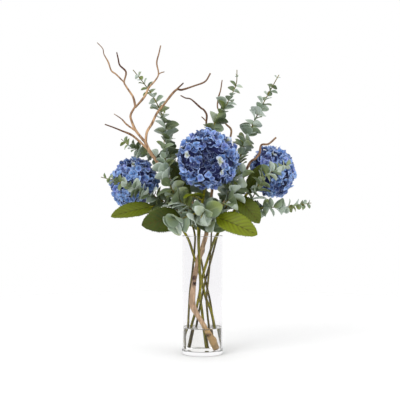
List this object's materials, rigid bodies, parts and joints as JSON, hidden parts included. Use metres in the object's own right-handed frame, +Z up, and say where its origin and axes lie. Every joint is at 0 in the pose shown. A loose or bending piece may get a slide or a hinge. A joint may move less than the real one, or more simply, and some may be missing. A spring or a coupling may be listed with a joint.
{
  "type": "hydrangeas in a glass vase",
  "caption": "Tall glass cylinder of water holding blue mophead hydrangeas, round-leaved eucalyptus sprays and a bare crooked branch.",
  "frame": {"origin": "Centre of the vase's flat underside, on the surface that it stands on.", "axes": "+Z up, along the vase's axis; the front, with the largest flower head, faces -Y; +X to the viewer's right."},
  "size_m": [0.5337, 0.275, 0.7737],
  "materials": {
    "glass": "clear, polished",
    "water": "clear water",
    "wood": "bare, weathered bark",
    "petals": "matt petals",
    "flower_leaf": "satin leaf",
    "eucalyptus": "waxy, matt leaf"
  },
  "bodies": {
    "root": {"vase": "glass", "water": "water", "branch": "wood", "hydrangea_head_center": "petals", "hydrangea_head_left": "petals", "hydrangea_head_right": "petals", "hydrangea_stem_center": "flower_leaf", "hydrangea_stem_left": "flower_leaf", "hydrangea_stem_right": "flower_leaf", "eucalyptus_left": "eucalyptus", "eucalyptus_right": "eucalyptus", "eucalyptus_back": "eucalyptus", "eucalyptus_front": "eucalyptus"}
  },
  "joints": []
}
